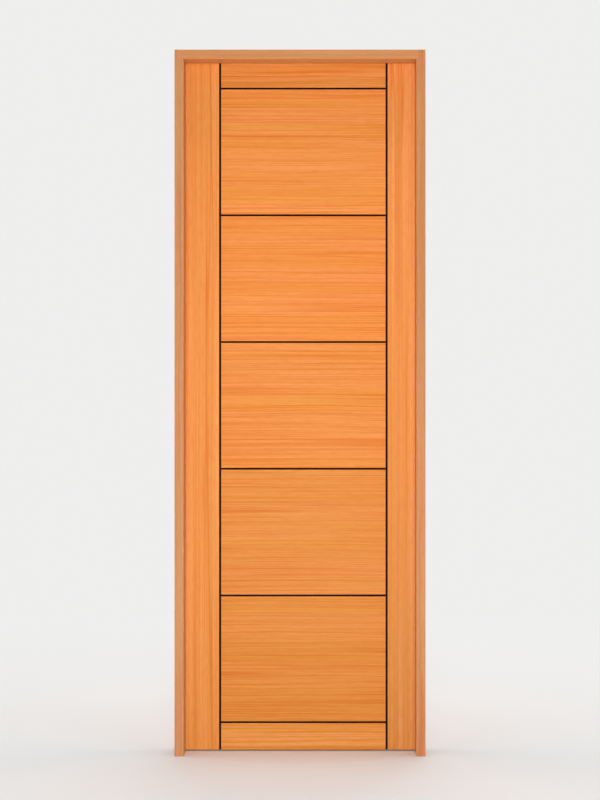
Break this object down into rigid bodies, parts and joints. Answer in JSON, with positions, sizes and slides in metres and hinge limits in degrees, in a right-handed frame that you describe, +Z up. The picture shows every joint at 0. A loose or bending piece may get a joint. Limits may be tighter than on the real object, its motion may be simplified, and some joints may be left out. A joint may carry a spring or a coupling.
{
  "type": "interior door with frame",
  "caption": "Flush veneered interior door leaf with dark inlaid grooves, hung on butt hinges in a plain rebated timber frame.",
  "frame": {"origin": "on the floor, in the middle of the frame's width and depth", "axes": "+X to the right seen from the push side, where the hinges are; +Y from the push side to the hinge side, the way the leaf opens; +Z up"},
  "size_m": [0.762, 0.1275, 2.145],
  "materials": {
    "frame_wood": "stained and satin lacquered timber, tan",
    "stile_veneer": "satin lacquered veneer with upright grain, orange brown",
    "panel_veneer": "satin lacquered veneer with level grain, orange brown",
    "lipping_wood": "satin lacquered solid wood strip",
    "inner_softwood": "sawn softwood",
    "core_board": "particle board",
    "black_inlay": "black, low gloss",
    "hinge_steel": "satin stainless steel",
    "screw_steel": "satin stainless steel",
    "washer_nylon": "natural nylon"
  },
  "bodies": {
    "frame": {"strike_jamb": "frame_wood", "hinge_jamb": "frame_wood", "head_jamb": "frame_wood", "corner_screws": "screw_steel", "jamb_hinge_screws": "screw_steel", "hinge_pin_tips": "hinge_steel", "hinge_washers": "washer_nylon", "upper_hinge_jamb_plate": "hinge_steel", "middle_hinge_jamb_plate": "hinge_steel", "lower_hinge_jamb_plate": "hinge_steel", "upper_hinge_pin": "hinge_steel", "middle_hinge_pin": "hinge_steel", "lower_hinge_pin": "hinge_steel"},
    "leaf": {"back_bottom_strip_facing": "panel_veneer", "back_cross_inlays": "black_inlay", "back_hinge_stile_facing": "stile_veneer", "back_hinge_stile_inlay": "black_inlay", "back_lock_stile_facing": "stile_veneer", "back_lock_stile_inlay": "black_inlay", "back_panel_facing_1": "panel_veneer", "back_panel_facing_2": "panel_veneer", "back_panel_facing_3": "panel_veneer", "back_panel_facing_4": "panel_veneer", "back_panel_facing_5": "panel_veneer", "back_top_strip_facing": "panel_veneer", "bottom_rail": "inner_softwood", "front_bottom_strip_facing": "panel_veneer", "front_cross_inlays": "black_inlay", "front_hinge_stile_facing": "stile_veneer", "front_hinge_stile_inlay": "black_inlay", "front_lock_stile_facing": "stile_veneer", "front_lock_stile_inlay": "black_inlay", "front_panel_facing_1": "panel_veneer", "front_panel_facing_2": "panel_veneer", "front_panel_facing_3": "panel_veneer", "front_panel_facing_4": "panel_veneer", "front_panel_facing_5": "panel_veneer", "front_top_strip_facing": "panel_veneer", "hinge_edge_lipping": "lipping_wood", "hinge_stile": "inner_softwood", "leaf_hinge_screws": "screw_steel", "lock_edge_lipping": "lipping_wood", "lock_rail": "inner_softwood", "lock_stile": "inner_softwood", "lower_core": "core_board", "lower_hinge_leaf_plate": "hinge_steel", "middle_hinge_leaf_plate": "hinge_steel", "top_rail": "inner_softwood", "upper_core": "core_board", "upper_hinge_leaf_plate": "hinge_steel"}
  },
  "joints": [
    {"name": "door_swing", "type": "hinge", "parent": "frame", "child": "leaf", "pos_m": [0.3615, 0.064, 1.1015], "axis": [0, 0, -1], "range_deg": [0, 180]}
  ]
}
